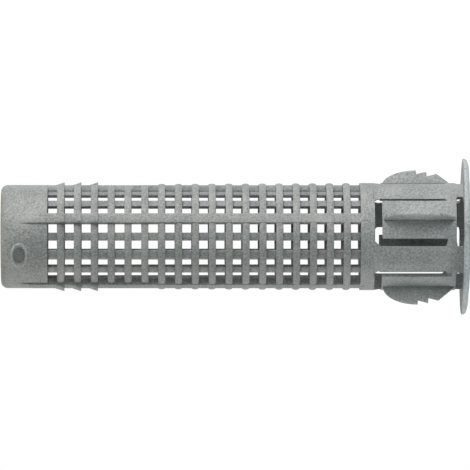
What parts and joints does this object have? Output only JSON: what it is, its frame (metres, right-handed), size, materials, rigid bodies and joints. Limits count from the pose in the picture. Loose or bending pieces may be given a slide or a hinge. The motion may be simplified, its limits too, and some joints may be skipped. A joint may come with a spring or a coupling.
{
  "type": "injection mesh sleeve",
  "caption": "Plastic mesh sleeve for mortar anchors in hollow walls: closed tip, open lattice tube, slotted head with toothed spring fins and a flange round the mouth.",
  "frame": {"origin": "centre of the flange's outer face, at the mouth, on the surface the sleeve stands on", "axes": "+Z along the sleeve from the mouth to the closed tip; the four fins and wide bars lie on the X and Y axes"},
  "size_m": [0.0284, 0.0284, 0.085],
  "materials": {
    "grey_plastic": "satin moulded grey plastic with a fine grain"
  },
  "bodies": {
    "root": {"mesh_sleeve": "grey_plastic"}
  },
  "joints": []
}
